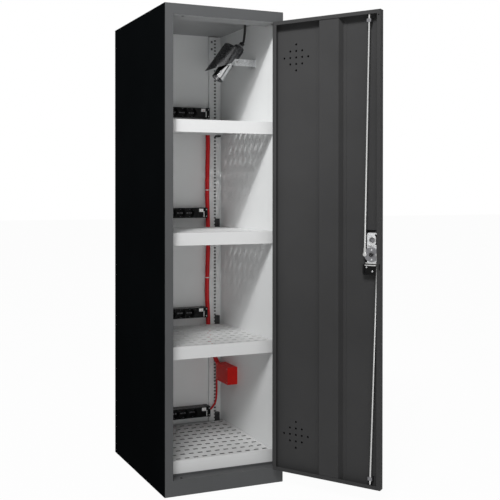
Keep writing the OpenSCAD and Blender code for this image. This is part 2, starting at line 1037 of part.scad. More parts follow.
// ---- lock ----
module lock_case() {
  color(zinc)
    on_door()
      difference() {
        union() {
          xz(front_y + door_t_s, case_y)
            rounded(sp_x - 22, sp_x + 17, spindle_z - 34, spindle_z + 80, 8);
          xz(case_y, case_y + 3)
            rounded(lock_x - 14, lock_x + 14, lock_z - 15, lock_z + 15, 6);
        }
        y_cyl(sp_x, front_y, case_y + 1, spindle_z, sp_r + run);
        y_cyl(lock_x, front_y, case_y + 4, lock_z, 11);
      }
}

module lock_backing() {
  color(black)
    on_door()
      difference() {
        xz(front_y + door_t_s, front_y + 23)
          rounded(sp_x - 16, sp_x + 31, spindle_z - 74, spindle_z - 35, 5);
        xz(front_y + 19, front_y + 24)
          rounded(sp_x - 10, sp_x + 25, spindle_z - 68, spindle_z - 41, 3);
      }
}

module handle_escutcheon() {
  color(black)
    on_door()
      difference() {
        xz(front_y - 4, front_y)
          rounded(sp_x - 24, sp_x + 24, spindle_z - 75, lock_z + 30, 10);
        y_cyl(sp_x, front_y - 5, front_y + 1, spindle_z, sp_r + run);
        y_cyl(lock_x, front_y - 5, front_y + 1, lock_z, 11);
      }
}

module lock_cylinder() {
  color(steel)
    on_door()
      difference() {
        union() {
          y_cyl(lock_x, front_y - 4, front_y + 8, lock_z, 11);
          y_cyl(lock_x, front_y - 6, front_y - 4, lock_z, 14);
        }
        y_cyl(lock_x, front_y - 7, front_y + 9, lock_z, 7 + run);
      }
}

module lock_plug() {
  color(steel)
    on_door()
      difference() {
        union() {
          y_cyl(lock_x, front_y - 5.5, front_y + 12, lock_z, 7);
          box(lock_x - 4, lock_x + 4, front_y + 9, front_y + 12,
              lock_z - 10, lock_z);
        }
        box(lock_x - 0.7, lock_x + 0.7, front_y - 6, front_y, lock_z - 4.5,
            lock_z + 3.5);
      }
}

module rod_guide(ex, s) {
  box(ex - 8, ex + 8, front_y + door_t_s, door_y1 - 2.5, 0, 12);
}

guide_in = 30;
module rod_guides() {
  color(zinc)
    on_door() {
      difference() {
        translate([0, 0, door_z1 - guide_in - 12])
          rod_guide(up_end_x + guide_in * up_lean / up_run, 1);
        rod_axis_u()
          cylinder(r = rod_r + 0.3, h = rod_len_u + 60);
      }
      difference() {
        translate([0, 0, door_z0 + guide_in])
          rod_guide(lo_end_x - guide_in * lo_lean / lo_run, 1);
        rod_axis_l()
          cylinder(r = rod_r + 0.3, h = rod_len_l + 60);
      }
    }
}

module rod_axis_u() {
  translate([up_eye_x, rod_y, spindle_z])
    rotate([0, -up_tilt, 0])
      children();
}

module rod_axis_l() {
  translate([lo_eye_x, rod_y, spindle_z])
    rotate([0, 180 - lo_tilt, 0])
      children();
}

module rod_end(rod_len) {
  flat = 24;
  off = eye_y - rod_y;
  translate([0, 0, flat])
    cylinder(r = rod_r, h = rod_len - flat);
  translate([-rod_r, off, 0])
    cube([2 * rod_r, eye_t, flat + 1]);
  translate([0, off, 0])
    rotate([-90, 0, 0])
      cylinder(r = 7, h = eye_t);
  translate([0, off + eye_t, 0])
    rotate([-90, 0, 0])
      cylinder(r = 3.5, h = 1.6);
}

module upper_lock_rod() {
  color(steel)
    on_door()
      rod_axis_u()
        rod_end(rod_len_u);
}

module lower_lock_rod() {
  color(steel)
    on_door()
      rod_axis_l()
        rod_end(rod_len_l);
}

module crank_disc() {
  color(zinc)
    on_door() {
      difference() {
        y_cyl(sp_x, disc_y, disc_y + disc_t, spindle_z, disc_r);
        for (s = [-1, 1])
          y_cyl(sp_x, disc_y - 1, disc_y + disc_t + 1, spindle_z + s * 18, 4);
      }
      y_cyl(sp_x, front_y - 5, disc_y + 0.5, spindle_z, sp_r);
      y_cyl(sp_x, disc_y + disc_t - 0.5, disc_y + disc_t + 4, spindle_z, 6);
    }
}

module turn_handle() {
  color(black)
    on_door()
      union() {
        y_cyl(sp_x, front_y - 10, front_y - 5, spindle_z, 13);
        xz(front_y - 26, front_y - 10)
          rounded(sp_x - 25, sp_x + 25, spindle_z - 8, spindle_z + 8, 7.5);
      }
}

// ---- one line per node ----
left_side_panel();
right_side_panel();
back_panel();
roof_panel();
left_stile();
right_stile();
top_rail();
plinth();
base_pan();
left_lining();
right_lining();
rear_lining();
ceiling_lining();
rear_uprights();
top_shelf();
middle_shelf();
bottom_shelf();
floor_tray();
shelf_clips();
shelf_screws();
power_strip_1();
power_strip_2();
power_strip_3();
power_strip_4();
socket_inserts();
strip_end_caps();
strip_plates();
red_hose();
hose_grommet();
junction_box();
junction_box_lid();
junction_box_screws();
junction_box_glands();
red_cable();
detector_body();
detector_hood();
detector_front_ring();
detector_lens();
detector_rear_cap();
detector_bracket();
detector_screws();
detector_cable();
mains_gland();
frame_hinge_halves();
hinge_pins();
door_pan();
vent_covers();
door_stiffener();
door_hinge_halves();
lock_case();
lock_backing();
handle_escutcheon();
lock_cylinder();
rod_guides();
turn_handle();
crank_disc();
upper_lock_rod();
lower_lock_rod();
lock_plug();
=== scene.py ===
"""Battery cabinet: finishes, small fittings, light and view for the modelled pieces."""

import json
from math import pi, radians, sin

import bmesh
import bpy
from mathutils import Matrix, Vector


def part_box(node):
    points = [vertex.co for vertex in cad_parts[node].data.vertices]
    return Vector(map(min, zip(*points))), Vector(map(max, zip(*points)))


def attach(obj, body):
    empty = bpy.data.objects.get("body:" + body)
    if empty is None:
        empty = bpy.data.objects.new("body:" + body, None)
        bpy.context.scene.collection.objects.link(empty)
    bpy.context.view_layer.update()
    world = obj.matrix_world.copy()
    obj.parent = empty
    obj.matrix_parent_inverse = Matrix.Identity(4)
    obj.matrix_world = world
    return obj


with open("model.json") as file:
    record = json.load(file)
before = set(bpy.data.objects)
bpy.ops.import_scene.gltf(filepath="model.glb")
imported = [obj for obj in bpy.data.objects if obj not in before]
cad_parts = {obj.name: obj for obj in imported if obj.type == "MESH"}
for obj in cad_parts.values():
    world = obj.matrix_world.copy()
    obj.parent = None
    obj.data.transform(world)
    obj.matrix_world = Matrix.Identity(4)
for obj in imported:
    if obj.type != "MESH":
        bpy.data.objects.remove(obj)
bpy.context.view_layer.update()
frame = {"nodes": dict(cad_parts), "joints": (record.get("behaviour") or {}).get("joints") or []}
nodes = frame["nodes"]

# ---- the light that reaches the cabinet ----

KEY_DIRECTION = Vector((0.457, 0.626, -0.632)).normalized()
KEY_TARGET = Vector((0.10, -0.05, 1.75))
KEY_DISTANCE = 6.0
KEY_IRRADIANCE = 2.3
KEY_RADIUS = 0.22
KEY_CONE = radians(19)
SOFT_DISTANCE = 9.0
SOFT_IRRADIANCE = 2.6
SOFT_SIZE = 3.2
FILL_PLACE = Vector((-0.9, -3.6, 0.35))
FILL_TARGET = Vector((0.05, -0.05, 0.35))
FILL_IRRADIANCE = 0.40
FILL_SIZE = 1.4
SKY_STRENGTH = 0.21
BACKDROP_STRENGTH = 1.0
WHITE_LIGHT = (1.0, 1.0, 1.0, 1.0)
FLOOR_SIZE = 60.0
FLOOR_DROP = 0.0004
FLOOR_GLOW = 0.968
FLOOR_GREY = (0.82, 0.82, 0.82, 1)

# ---- the view ----

CAMERA_PLACE = (-1.386, -3.216, 1.145)
CAMERA_TURN = (radians(89.63), 0.0, radians(-21.31))
CAMERA_LENS = 60.48
CAMERA_SHIFT = (0.1698, -0.106)
CAMERA_FILM = 36.0
CAMERA_REACH = 200.0


# ---- small helpers for shader trees ----


def add_node(tree, kind, settings=None, inputs=None):
    """A shader node with its settings and input values; a socket given as a value is linked."""
    made = tree.nodes.new("ShaderNode" + kind)
    for name, value in (settings or {}).items():
        setattr(made, name, value)
    for socket, value in (inputs or {}).items():
        if isinstance(value, bpy.types.NodeSocket):
            tree.links.new(value, made.inputs[socket])
        else:
            made.inputs[socket].default_value = value
    return made


def math(tree, operation, a, b=0.5, clamp=False):
    """The output of a Math node on two values or sockets."""
    settings = {"operation": operation, "use_clamp": clamp}
    return add_node(tree, "Math", settings, {0: a, 1: b}).outputs[0]


def mix_colour(tree, factor, a, b):
    """The colour between a and b."""
    settings = {"data_type": "RGBA", "blend_type": "MIX", "clamp_factor": True}
    return add_node(tree, "Mix", settings, {0: factor, 6: a, 7: b}).outputs[2]


def spread(tree, value, given, wanted):
    """A value moved from one range to another, held at the ends."""
    inputs = {0: value, 1: given[0], 2: given[1], 3: wanted[0], 4: wanted[1]}
    return add_node(tree, "MapRange", {"clamp": True}, inputs).outputs[0]


def noise(tree, place, scale, detail=2.0, roughness=0.5):
    """The value of a noise texture."""
    inputs = {"Vector": place, "Scale": scale, "Detail": detail, "Roughness": roughness}
    return add_node(tree, "TexNoise", None, inputs).outputs["Fac"]


def object_place(tree):
    """The place of the shaded point, which moves with its object."""
    return add_node(tree, "TexCoord").outputs["Object"]


def toned(tree, colour, tone):
    """A colour made lighter or darker by a tone."""
    inputs = {0: colour, "Scale": tone}
    return add_node(tree, "VectorMath", {"operation": "SCALE"}, inputs).outputs[0]


def put_out(tree, out, **values):
    """Links each value to the group's output of that name."""
    for name, socket in values.items():
        tree.links.new(socket, out[name])


def new_group(name, inputs, outputs):
    """An empty shader group with its sockets, and its input and output nodes."""
    tree = bpy.data.node_groups.new(name, "ShaderNodeTree")
    for label, kind, value in inputs:
        socket = tree.interface.new_socket(label, in_out="INPUT", socket_type=kind)
        socket.default_value = value
    for label, kind in outputs:
        tree.interface.new_socket(label, in_out="OUTPUT", socket_type=kind)
    given = tree.nodes.new("NodeGroupInput").outputs
    return tree, given, tree.nodes.new("NodeGroupOutput").inputs


def new_shaded(store, name):
    """A new material or world, and its empty shader tree."""
    made = store.new(name)
    made.use_nodes = True
    made.node_tree.nodes.clear()
    return made, made.node_tree


def close_tree(tree, kind, shader):
    """Links the last shader of a tree to its output."""
    tree.links.new(shader.outputs[0], add_node(tree, kind).inputs[0])


# ---- effects that the finishes share ----

COLOUR, FLOAT, VECTOR = "NodeSocketColor", "NodeSocketFloat", "NodeSocketVector"
SKIN_OUTPUTS = [("Colour", COLOUR), ("Roughness", FLOAT), ("Height", FLOAT), ("Normal", VECTOR)]
DUST_ON_PAINT = (0.42, 0.40, 0.37, 1.0)
DUST_ON_PLASTIC = (0.36, 0.34, 0.31, 1.0)
BRIGHT_EDGE = (0.80, 0.79, 0.77, 1.0)


def make_edge_effect():
    """Soft shading of edges, and a mask of where an edge has rubbed."""
    tree, given, out = new_group(
        "edges",
        [("Radius", FLOAT, 0.001), ("Wear", FLOAT, 0.5)],
        [("Normal", VECTOR), ("Worn", FLOAT)],
    )
    bevel = add_node(tree, "Bevel", {"samples": 4}, {"Radius": given["Radius"]})
    flat = add_node(tree, "NewGeometry").outputs["Normal"]
    along = add_node(
        tree, "VectorMath", {"operation": "DOT_PRODUCT"}, {0: bevel.outputs[0], 1: flat}
    ).outputs["Value"]
    edge = spread(tree, along, (0.97, 0.80), (0.0, 1.0))
    place = object_place(tree)
    mottle = noise(tree, place, scale=38.0, detail=4.0, roughness=0.65)
    patch = spread(tree, mottle, (0.42, 0.62), (0.0, 1.0))
    rubbed = math(tree, "MULTIPLY", math(tree, "MULTIPLY", edge, patch), given["Wear"], clamp=True)
    put_out(tree, out, Normal=bevel.outputs[0], Worn=rubbed)
    return tree


def make_dust_effect():
    """A mask of thin dust that settles on faces that look up."""
    tree, given, out = new_group("dust", [("Amount", FLOAT, 0.3)], [("Mask", FLOAT)])
    geometry = add_node(tree, "NewGeometry")
    up = add_node(tree, "SeparateXYZ", None, {0: geometry.outputs["Normal"]}).outputs["Z"]
    place = object_place(tree)
    broad = noise(tree, place, scale=9.0, detail=6.0, roughness=0.7)
    cloud = spread(tree, broad, (0.35, 0.7), (0.0, 1.0))
    specks = noise(tree, place, scale=260.0, detail=2.0, roughness=0.6)
    fine = spread(tree, specks, (0.3, 0.8), (0.4, 1.0))
    facing = spread(tree, up, (0.5, 1.0), (0.12, 1.0))
    mask = math(tree, "MULTIPLY", math(tree, "MULTIPLY", cloud, fine), facing)
    put_out(tree, out, Mask=math(tree, "MULTIPLY", mask, given["Amount"], clamp=True))
    return tree


def make_paint_effect(edges, dust):
    """Powder coat: a fine orange peel, faint clouds of tone, rubbed edges and dust."""
    tree, given, out = new_group(
        "powder coat",
        [
            ("Colour", COLOUR, (0.5, 0.5, 0.5, 1.0)),
            ("Rubbed colour", COLOUR, (0.6, 0.6, 0.6, 1.0)),
            ("Tone", FLOAT, 0.06),
            ("Wear", FLOAT, 0.4),
            ("Dust", FLOAT, 0.2),
            ("Gloss", FLOAT, 0.5),
        ],
        SKIN_OUTPUTS,
    )
    place = object_place(tree)
    edge = add_node(tree, "Group", {"node_tree": edges}, {"Radius": 0.0011, "Wear": given["Wear"]})
    cloud = noise(tree, place, scale=2.6, detail=4.0, roughness=0.6)
    low = math(tree, "SUBTRACT", 1.0, given["Tone"])
    high = math(tree, "ADD", 1.0, given["Tone"])
    tone = spread(tree, cloud, (0.3, 0.7), (low, high))
    painted = toned(tree, given["Colour"], tone)
    rubbed = mix_colour(tree, edge.outputs["Worn"], painted, given["Rubbed colour"])
    dusty = add_node(tree, "Group", {"node_tree": dust}, {"Amount": given["Dust"]}).outputs["Mask"]
    coat = mix_colour(tree, dusty, rubbed, DUST_ON_PAINT)
    film = noise(tree, place, scale=14.0, detail=5.0, roughness=0.62)
    smear = spread(tree, film, (0.3, 0.7), (-0.02, 0.03))
    smeared = math(tree, "ADD", given["Gloss"], smear)
    rough = math(tree, "ADD", smeared, math(tree, "MULTIPLY", dusty, 0.3), clamp=True)
    peel = noise(tree, place, scale=850.0, detail=2.0, roughness=0.55)
    put_out(tree, out, Colour=coat, Roughness=rough, Height=peel, Normal=edge.outputs["Normal"])
    return tree


def make_metal_effect(edges):
    """Bare or plated metal: drawn lines, a mottled grain, bright rubbed edges and grime."""
    tree, given, out = new_group(
        "plated metal",
        [
            ("Colour", COLOUR, (0.6, 0.6, 0.6, 1.0)),
            ("Grime colour", COLOUR, (0.12, 0.11, 0.10, 1.0)),
            ("Grain", FLOAT, 0.3),
            ("Lines", VECTOR, (1.0, 1.0, 30.0)),
            ("Gloss", FLOAT, 0.3),
        ],
        SKIN_OUTPUTS,
    )
    place = object_place(tree)
    edge = add_node(tree, "Group", {"node_tree": edges}, {"Radius": 0.0007, "Wear": 0.8})
    drawn = add_node(tree, "VectorMath", {"operation": "MULTIPLY"}, {0: place, 1: given["Lines"]})
    line = noise(tree, drawn.outputs[0], scale=60.0, detail=3.0, roughness=0.6)
    inputs = {"Vector": place, "Scale": 260.0}
    spangle = add_node(tree, "TexVoronoi", None, inputs).outputs["Color"]
    cell = add_node(tree, "SeparateColor", None, {0: spangle}).outputs[0]
    grain = math(tree, "MULTIPLY", math(tree, "SUBTRACT", cell, 0.5), given["Grain"])
    streak = spread(tree, line, (0.35, 0.65), (-0.06, 0.08))
    tone = math(tree, "ADD", math(tree, "ADD", 0.92, grain), streak)
    plated = toned(tree, given["Colour"], tone)
    stain = noise(tree, place, scale=24.0, detail=6.0, roughness=0.7)
    grime = spread(tree, stain, (0.52, 0.78), (0.0, 0.45))
    dirty = mix_colour(tree, grime, plated, given["Grime colour"])
    bright = mix_colour(tree, edge.outputs["Worn"], dirty, BRIGHT_EDGE)
    coarse = math(tree, "ADD", given["Gloss"], math(tree, "MULTIPLY", grain, 0.5))
    rough = math(tree, "ADD", coarse, math(tree, "MULTIPLY", grime, 0.4), clamp=True)
    put_out(tree, out, Colour=bright, Roughness=rough, Height=line, Normal=edge.outputs["Normal"])
    return tree


def make_moulding_effect(edges, dust):
    """Moulded plastic or rubber: a spark-eroded grain, flow clouds and dust."""
    tree, given, out = new_group(
        "moulded skin",
        [
            ("Colour", COLOUR, (0.1, 0.1, 0.1, 1.0)),
            ("Rubbed colour", COLOUR, (0.3, 0.3, 0.3, 1.0)),
            ("Grain scale", FLOAT, 1400.0),
            ("Dust", FLOAT, 0.25),
            ("Gloss", FLOAT, 0.45),
        ],
        SKIN_OUTPUTS,
    )
    place = object_place(tree)
    edge = add_node(tree, "Group", {"node_tree": edges}, {"Radius": 0.0009, "Wear": 0.35})
    flow = noise(tree, place, scale=18.0, detail=5.0, roughness=0.6)
    tone = spread(tree, flow, (0.3, 0.7), (0.86, 1.12))
    skin = toned(tree, given["Colour"], tone)
    rubbed = mix_colour(tree, edge.outputs["Worn"], skin, given["Rubbed colour"])
    dusty = add_node(tree, "Group", {"node_tree": dust}, {"Amount": given["Dust"]}).outputs["Mask"]
    coat = mix_colour(tree, dusty, rubbed, DUST_ON_PLASTIC)
    film = noise(tree, place, scale=45.0, detail=4.0, roughness=0.6)
    smear = spread(tree, film, (0.3, 0.7), (-0.08, 0.10))
    smeared = math(tree, "ADD", given["Gloss"], smear)
    rough = math(tree, "ADD", smeared, math(tree, "MULTIPLY", dusty, 0.35), clamp=True)
    grain = noise(tree, place, given["Grain scale"])
    put_out(tree, out, Colour=coat, Roughness=rough, Height=grain, Normal=edge.outputs["Normal"])
    return tree


EDGES = make_edge_effect()
DUST = make_dust_effect()
PAINT = make_paint_effect(EDGES, DUST)
METAL = make_metal_effect(EDGES)
MOULDING = make_moulding_effect(EDGES, DUST)


def finish(name, effect, values, bump, depth, shader):
    """A material whose colour, roughness and bump come from one of the effects."""
    made, tree = new_shaded(bpy.data.materials, name)
    skin = add_node(tree, "Group", {"node_tree": effect}, values).outputs
    relief = {
        "Strength": bump, "Distance": depth,
        "Height": skin["Height"], "Normal": skin["Normal"],
    }
    inputs = {
        "Base Color": skin["Colour"],
        "Roughness": skin["Roughness"],
        "Normal": add_node(tree, "Bump", None, relief).outputs[0],
    }
    inputs.update(shader)
    close_tree(tree, "OutputMaterial", add_node(tree, "BsdfPrincipled", None, inputs))
    made.diffuse_color = values["Colour"]
    return made


def paint(name, colour, rubbed, gloss, dust, wear, tone, specular):
    """Powder coat of one colour."""
    values = {"Colour": colour, "Rubbed colour": rubbed, "Gloss": gloss}
    values.update({"Dust": dust, "Wear": wear, "Tone": tone})
    shader = {"Specular IOR Level": specular}
    return finish(name, PAINT, values, bump=0.10, depth=0.0004, shader=shader)


def metal(name, colour, gloss, grain, lines):
    """Bare or plated metal; lines says how finely it is drawn along each axis."""
    values = {"Colour": colour, "Gloss": gloss, "Grain": grain, "Lines": lines}
    return finish(name, METAL, values, bump=0.10, depth=0.0003, shader={"Metallic": 1.0})


def moulding(name, colour, rubbed, gloss, dust, grain_scale=1400.0, specular=0.5):
    """Plastic or rubber of one colour."""
    values = {"Colour": colour, "Rubbed colour": rubbed, "Gloss": gloss}
    values.update({"Dust": dust, "Grain scale": grain_scale})
    shader = {"Specular IOR Level": specular}
    return finish(name, MOULDING, values, bump=0.12, depth=0.0003, shader=shader)


# ---- finishes ----

# The left side panel takes a near-black copy of the shell paint without specular: painted shade.
SHADED_SIDE_PAINT = paint(
    "shaded side paint", (0.0030, 0.0036, 0.0040, 1), (0.02, 0.02, 0.022, 1),
    gloss=0.52, dust=0.0, wear=0.3, tone=0.12, specular=0.0,
)
SHELL_PAINT = paint(
    "shell paint", (0.0160, 0.0165, 0.0170, 1), (0.07, 0.07, 0.072, 1),
    gloss=0.46, dust=0.0, wear=0.5, tone=0.05, specular=0.30,
)
FRAME_PAINT = paint(
    "frame paint", (0.064, 0.066, 0.068, 1), (0.16, 0.16, 0.16, 1),
    gloss=0.46, dust=0.03, wear=0.5, tone=0.07, specular=0.30,
)
DOOR_PAINT = paint(
    "door paint", (0.0440, 0.0440, 0.0445, 1), (0.10, 0.10, 0.10, 1),
    gloss=0.50, dust=0.02, wear=0.5, tone=0.08, specular=0.02,
)
# The ceiling lining takes a mid-grey copy of the lining paint: painted shade at the top of the
# inside.
SHADED_CEILING_PAINT = paint(
    "shaded ceiling paint", (0.34, 0.345, 0.35, 1), (0.3, 0.3, 0.3, 1),
    gloss=0.46, dust=0.02, wear=0.5, tone=0.03, specular=0.3,
)
LINING_PAINT, BACK_PAINT = [
    paint(
        name, (0.77, 0.78, 0.78, 1), (0.55, 0.55, 0.54, 1),
        gloss=0.42, dust=0.03, wear=0.5, tone=0.02, specular=0.35,
    )
    for name in ("lining paint", "rear lining paint")
]
UPRIGHT_PAINT = paint(
    "upright paint", (0.74, 0.75, 0.75, 1), (0.55, 0.55, 0.54, 1),
    gloss=0.42, dust=0.03, wear=0.5, tone=0.02, specular=0.35,
)
# The shelves take a darker copy of the linings' paint: painted shade.
SHADED_SHELF_PAINT = paint(
    "shaded shelf paint", (0.62, 0.625, 0.625, 1), (0.46, 0.46, 0.45, 1),
    gloss=0.42, dust=0.08, wear=0.5, tone=0.025, specular=0.35,
)
ZINC = metal(
    "zinc plate", (0.66, 0.67, 0.68, 1),
    gloss=0.30, grain=0.26, lines=(1.0, 1.0, 1.0),
)
DARK_STEEL = metal(
    "phosphated steel", (0.20, 0.20, 0.21, 1),
    gloss=0.42, grain=0.12, lines=(3.0, 3.0, 3.0),
)
ROD_STEEL = metal(
    "rod steel", (0.58, 0.58, 0.575, 1),
    gloss=0.28, grain=0.05, lines=(40.0, 40.0, 1.0),
)
CHROME = metal(
    "chrome", (0.60, 0.605, 0.61, 1),
    gloss=0.13, grain=0.02, lines=(8.0, 8.0, 8.0),
)
HOOD_METAL = metal(
    "hood metal", (0.13, 0.131, 0.135, 1),
    gloss=0.27, grain=0.04, lines=(6.0, 6.0, 6.0),
)
BLACKED_STEEL = metal(
    "blacked steel", (0.030, 0.030, 0.031, 1),
    gloss=0.40, grain=0.10, lines=(3.0, 3.0, 3.0),
)
BRACKET_ZINC = metal(
    "galvanised bracket", (0.80, 0.81, 0.82, 1),
    gloss=0.40, grain=0.30, lines=(1.0, 1.0, 1.0),
)
BLACK_PLASTIC = moulding(
    "black plastic", (0.011, 0.011, 0.012, 1), (0.06, 0.06, 0.06, 1),
    gloss=0.42, dust=0.05,
)
GLOSS_PLASTIC = moulding(
    "glossy black plastic", (0.0018, 0.0018, 0.0020, 1), (0.02, 0.02, 0.02, 1),
    gloss=0.14, dust=0.0, specular=0.12,
)
BLACK_RUBBER = moulding(
    "black rubber", (0.010, 0.010, 0.010, 1), (0.05, 0.05, 0.05, 1),
    gloss=0.62, dust=0.08, grain_scale=700.0,
)
STRIP_PLASTIC = moulding(
    "strip housing", (0.0030, 0.0032, 0.0034, 1), (0.02, 0.02, 0.02, 1),
    gloss=0.22, dust=0.01, specular=0.14,
)
WHITE_PLASTIC = moulding(
    "white plastic", (0.92, 0.92, 0.91, 1), (0.6, 0.6, 0.58, 1),
    gloss=0.36, dust=0.05,
)
RED_PLASTIC = moulding(
    "red plastic", (0.60, 0.010, 0.006, 1), (0.6, 0.05, 0.04, 1),
    gloss=0.40, dust=0.0, specular=0.2,
)
RED_RUBBER = moulding(
    "red hose", (0.56, 0.010, 0.014, 1), (0.5, 0.05, 0.05, 1),
    gloss=0.46, dust=0.0, grain_scale=900.0, specular=0.25,
)


UPRIGHT_WIDTH = 0.050
UPRIGHT_WALL = 0.0015
# Dark tones of the painted shade inside the uprights' channels.
CHANNEL_SHADE_DARK = (0.080, 0.080, 0.082, 1)
CHANNEL_SHADE_LIGHT = (0.150, 0.150, 0.152, 1)


def paint_channel_shade(material):
    """Paints dark, mottled shade into a paint inside the channels of the slotted uprights."""
    low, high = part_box("rear_uprights")
    tree = material.node_tree
    shader = next(piece for piece in tree.nodes if piece.type == "BSDF_PRINCIPLED")
    painted = shader.inputs["Base Color"].links[0].from_socket
    place = object_place(tree)
    axes = add_node(tree, "SeparateXYZ", None, {0: place}).outputs
    across = math(tree, "ABSOLUTE", axes["X"])
    inner = max(abs(low.x), abs(high.x)) - UPRIGHT_WIDTH + UPRIGHT_WALL
    outer = inner + UPRIGHT_WIDTH - 2 * UPRIGHT_WALL
    within = math(
        tree, "MULTIPLY",
        math(tree, "GREATER_THAN", across, inner), math(tree, "LESS_THAN", across, outer),
    )
    deep = math(tree, "GREATER_THAN", axes["Y"], low.y + UPRIGHT_WALL)
    behind = math(tree, "MULTIPLY", within, deep)
    mottle = noise(tree, place, scale=60.0, detail=4.0, roughness=0.6)
    # Mottled painted shade where the channel lies.
    channel_shade = mix_colour(tree, mottle, CHANNEL_SHADE_DARK, CHANNEL_SHADE_LIGHT)
    tree.links.new(mix_colour(tree, behind, painted, channel_shade), shader.inputs["Base Color"])


# Painted shade in the uprights' channels and on the rear lining behind them.
for channel_paint in (UPRIGHT_PAINT, BACK_PAINT):
    paint_channel_shade(channel_paint)


COATING_BLUE = (0.004, 0.006, 0.014, 1)
COATING_VIOLET = (0.012, 0.010, 0.022, 1)


def lens_glass():
    """Dark coated glass of the detector's window."""
    made, tree = new_shaded(bpy.data.materials, "lens glass")
    place = object_place(tree)
    sheen = noise(tree, place, scale=40.0, detail=3.0)
    film = noise(tree, place, scale=120.0, detail=3.0)
    relief = {"Strength": 0.03, "Distance": 0.0002, "Height": noise(tree, place, scale=90.0)}
    inputs = {
        "Base Color": mix_colour(tree, sheen, COATING_BLUE, COATING_VIOLET),
        "Roughness": spread(tree, film, (0.3, 0.7), (0.03, 0.08)),
        "Normal": add_node(tree, "Bump", None, relief).outputs[0],
        "IOR": 1.6,
        "Coat Weight": 0.6,
    }
    close_tree(tree, "OutputMaterial", add_node(tree, "BsdfPrincipled", None, inputs))
    return made


LENS_GLASS = lens_glass()

# ---- finishes on the modelled nodes ----

NODE_FINISH = {
    SHADED_SIDE_PAINT: ["left_side_panel"],
    SHELL_PAINT: ["right_side_panel", "back_panel", "roof_panel"],
    FRAME_PAINT: [
        "left_stile", "right_stile", "top_rail", "plinth", "base_pan", "frame_hinge_halves",
    ],
    DOOR_PAINT: ["door_pan", "door_stiffener", "door_hinge_halves"],
    LINING_PAINT: ["left_lining", "right_lining"],
    BACK_PAINT: ["rear_lining"],
    UPRIGHT_PAINT: ["rear_uprights"],
    SHADED_CEILING_PAINT: ["ceiling_lining"],
    SHADED_SHELF_PAINT: ["top_shelf", "middle_shelf", "bottom_shelf", "floor_tray"],
    ZINC: ["lock_case"],
    BRACKET_ZINC: ["detector_bracket"],
    DARK_STEEL: ["crank_disc", "lock_cylinder", "lock_plug", "rod_guides"],
    ROD_STEEL: [
        "upper_lock_rod", "lower_lock_rod", "hinge_pins",
        "shelf_screws", "detector_screws", "junction_box_screws",
    ],
    CHROME: ["detector_body", "detector_front_ring"],
    HOOD_METAL: ["detector_hood", "detector_rear_cap"],
    BLACK_PLASTIC: ["shelf_clips", "turn_handle", "handle_escutcheon", "mains_gland"],
    GLOSS_PLASTIC: ["lock_backing", "vent_covers"],
    BLACK_RUBBER: ["hose_grommet", "detector_cable"],
    STRIP_PLASTIC: [
        "power_strip_1", "power_strip_2", "power_strip_3", "power_strip_4",
        "socket_inserts", "strip_end_caps",
    ],
    WHITE_PLASTIC: ["strip_plates"],
    RED_PLASTIC: ["junction_box", "junction_box_lid", "junction_box_glands"],
    RED_RUBBER: ["red_hose", "red_cable"],
    LENS_GLASS: ["detector_lens"],
}

for material, names in NODE_FINISH.items():
    for name in names:
        for slot in nodes[name].material_slots:
            slot.material = material

# ---- where the fittings sit ----


def joint_named(name):
    """The record of one joint."""
    return next(joint for joint in frame["joints"] if joint["name"] == name)


OPEN_ANGLE = radians(125)
HINGE_PLACE = Matrix.Translation(joint_named("door_hinge")["pos_m"])
OPEN_DOOR = HINGE_PLACE @ Matrix.Rotation(OPEN_ANGLE, 4, "Z") @ HINGE_PLACE.inverted()
SPINDLE = OPEN_DOOR.inverted() @ Vector(joint_named("handle_turn")["pos_m"])
PLUG = OPEN_DOOR.inverted() @ Vector(joint_named("lock_plug_turn")["pos_m"])

# Depths on the shut door, from its outside to its inside.
DOOR_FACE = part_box("left_stile")[0].y
ESCUTCHEON_FACE = DOOR_FACE - 0.004
# The black sheet of painted shade behind the lock case lies at the next depth.
SHADE_SHEET_FACE = DOOR_FACE + 0.0012
CASE_FACE = DOOR_FACE + 0.015
UPPER_STRIP_FACE = CASE_FACE + 0.0005
SPRING_FACE = CASE_FACE + 0.0032
BORE_RING_FACE = CASE_FACE + 0.0034
BACKING_FACE = DOOR_FACE + 0.019
EYE_FACE = DOOR_FACE + 0.0214
CRANK_END = DOOR_FACE + 0.0226
NUT_FACE = CRANK_END - 0.0012
LOWER_STRIP_FACE = DOOR_FACE + 0.023
CRANK_RADIUS = 0.024

LEFT, RIGHT = Vector((-1, 0, 0)), Vector((1, 0, 0))
FRONT, BACK = Vector((0, -1, 0)), Vector((0, 1, 0))
UP = Vector((0, 0, 1))


def seat(place, facing, size=1.0, turn=0.0):
    """The place of a fitting that stands on a face: its own +Z looks along facing."""
    swing = Vector(facing).to_track_quat("Z", "Y").to_matrix().to_4x4()
    return Matrix.Translation(place) @ swing @ Matrix.Rotation(turn, 4, "Z") @ Matrix.Scale(size, 4)


def by_spindle(across, up, face):
    """A place on a face of the shut door, measured from the spindle of the handle."""
    return Vector((SPINDLE.x + across, face, SPINDLE.z + up))


def on_door(places):
    """Places given for the shut door, turned with the open one."""
    return [OPEN_DOOR @ place for place in places]


# ---- modelling helpers ----

SHARP_ANGLE = radians(35)


def begin(kind, **sizes):
    """Adds a primitive with nothing else selected."""
    bpy.ops.object.select_all(action="DESELECT")
    getattr(bpy.ops.mesh, f"primitive_{kind}_add")(**sizes)
    return bpy.context.object


def select_only(pieces):
    """Selects these pieces alone and makes the first one active."""
    bpy.ops.object.select_all(action="DESELECT")
    for piece in pieces:
        piece.select_set(True)
    bpy.context.view_layer.objects.active = pieces[0]


